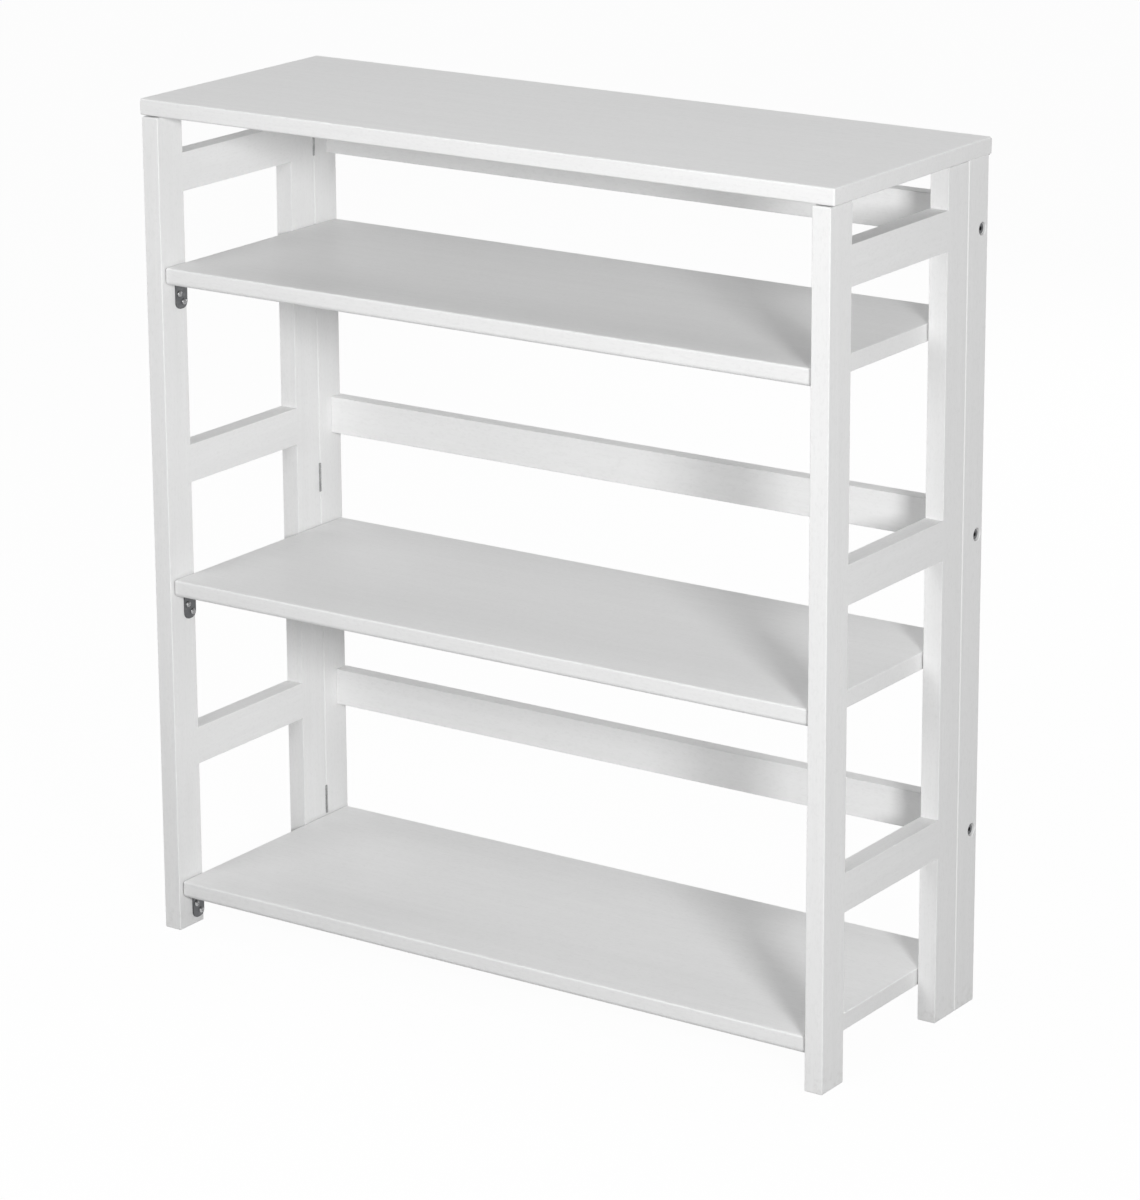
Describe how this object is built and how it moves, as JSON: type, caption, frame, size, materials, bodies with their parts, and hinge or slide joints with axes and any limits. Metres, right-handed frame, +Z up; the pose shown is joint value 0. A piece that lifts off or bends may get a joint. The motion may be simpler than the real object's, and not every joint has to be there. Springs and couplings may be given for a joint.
{
  "type": "folding bookcase",
  "caption": "Free-standing folding bookcase of painted wood: hinged side frames, shelves that turn up into the back frame and a flap top.",
  "frame": {"origin": "on the floor, in the middle of the whole part in plan, hinge knuckles included", "axes": "+Z up, front of the bookcase towards -Y, its right side seen from the front towards +X"},
  "size_m": [0.794, 0.2903, 0.8636],
  "materials": {
    "white_paint": "satin white paint on solid wood",
    "dark_steel": "dark gunmetal steel",
    "bright_steel": "plain steel with a dull shine"
  },
  "bodies": {
    "back_frame": {"stile_left": "white_paint", "stile_right": "white_paint", "back_rail_bottom": "white_paint", "back_rail_middle": "white_paint", "back_rail_top": "white_paint", "frame_bolt_left_bottom": "dark_steel", "frame_bolt_left_middle": "dark_steel", "frame_bolt_left_top": "dark_steel", "frame_bolt_right_bottom": "dark_steel", "frame_bolt_right_middle": "dark_steel", "frame_bolt_right_top": "dark_steel", "pivot_pin_left_bottom": "bright_steel", "pivot_pin_left_middle": "bright_steel", "pivot_pin_left_upper": "bright_steel", "pivot_pin_right_bottom": "bright_steel", "pivot_pin_right_middle": "bright_steel", "pivot_pin_right_upper": "bright_steel", "hinge_stile_leaf_left_bottom": "bright_steel", "hinge_stile_leaf_left_middle": "bright_steel", "hinge_stile_leaf_left_upper": "bright_steel", "hinge_stile_leaf_right_bottom": "bright_steel", "hinge_stile_leaf_right_middle": "bright_steel", "hinge_stile_leaf_right_upper": "bright_steel", "flap_stile_leaf_left": "bright_steel", "flap_stile_leaf_right": "bright_steel"},
    "side_frame_left": {"front_post_left": "white_paint", "rear_post_left": "white_paint", "side_rail_left_bottom": "white_paint", "side_rail_left_middle": "white_paint", "side_rail_left_top": "white_paint", "shelf_bracket_left_bottom": "dark_steel", "shelf_bracket_left_middle": "dark_steel", "shelf_bracket_left_upper": "dark_steel", "hinge_post_leaf_left_bottom": "bright_steel", "hinge_post_leaf_left_middle": "bright_steel", "hinge_post_leaf_left_upper": "bright_steel"},
    "side_frame_right": {"front_post_right": "white_paint", "rear_post_right": "white_paint", "side_rail_right_bottom": "white_paint", "side_rail_right_middle": "white_paint", "side_rail_right_top": "white_paint", "shelf_bracket_right_bottom": "dark_steel", "shelf_bracket_right_middle": "dark_steel", "shelf_bracket_right_upper": "dark_steel", "hinge_post_leaf_right_bottom": "bright_steel", "hinge_post_leaf_right_middle": "bright_steel", "hinge_post_leaf_right_upper": "bright_steel"},
    "bottom_shelf": {"shelf_bottom": "white_paint"},
    "middle_shelf": {"shelf_middle": "white_paint"},
    "upper_shelf": {"shelf_upper": "white_paint"},
    "flap_top": {"top_board": "white_paint", "flap_top_leaf_left": "bright_steel", "flap_top_leaf_right": "bright_steel"}
  },
  "joints": [
    {"name": "top_flap", "type": "hinge", "parent": "back_frame", "child": "flap_top", "pos_m": [0, 0.14305, 0.8471], "axis": [-1, 0, 0], "range_deg": [0, 90]},
    {"name": "upper_shelf_fold", "type": "hinge", "parent": "back_frame", "child": "upper_shelf", "pos_m": [0, 0.11505, 0.68695], "axis": [-1, 0, 0], "range_deg": [0, 90]},
    {"name": "middle_shelf_fold", "type": "hinge", "parent": "back_frame", "child": "middle_shelf", "pos_m": [0, 0.11505, 0.36545], "axis": [-1, 0, 0], "range_deg": [0, 90]},
    {"name": "bottom_shelf_fold", "type": "hinge", "parent": "back_frame", "child": "bottom_shelf", "pos_m": [0, 0.11505, 0.04395], "axis": [-1, 0, 0], "range_deg": [0, 90]},
    {"name": "side_fold_left", "type": "hinge", "parent": "back_frame", "child": "side_frame_left", "pos_m": [-0.3754, 0.1032, 0], "axis": [0, 0, 1], "range_deg": [0, 0.25]},
    {"name": "side_fold_right", "type": "hinge", "parent": "back_frame", "child": "side_frame_right", "pos_m": [0.3754, 0.1032, 0], "axis": [0, 0, -1], "range_deg": [0, 0.25]}
  ],
  "couplings": [
    {"joint": "upper_shelf_fold", "follows": "top_flap", "ratio": 1}
  ]
}
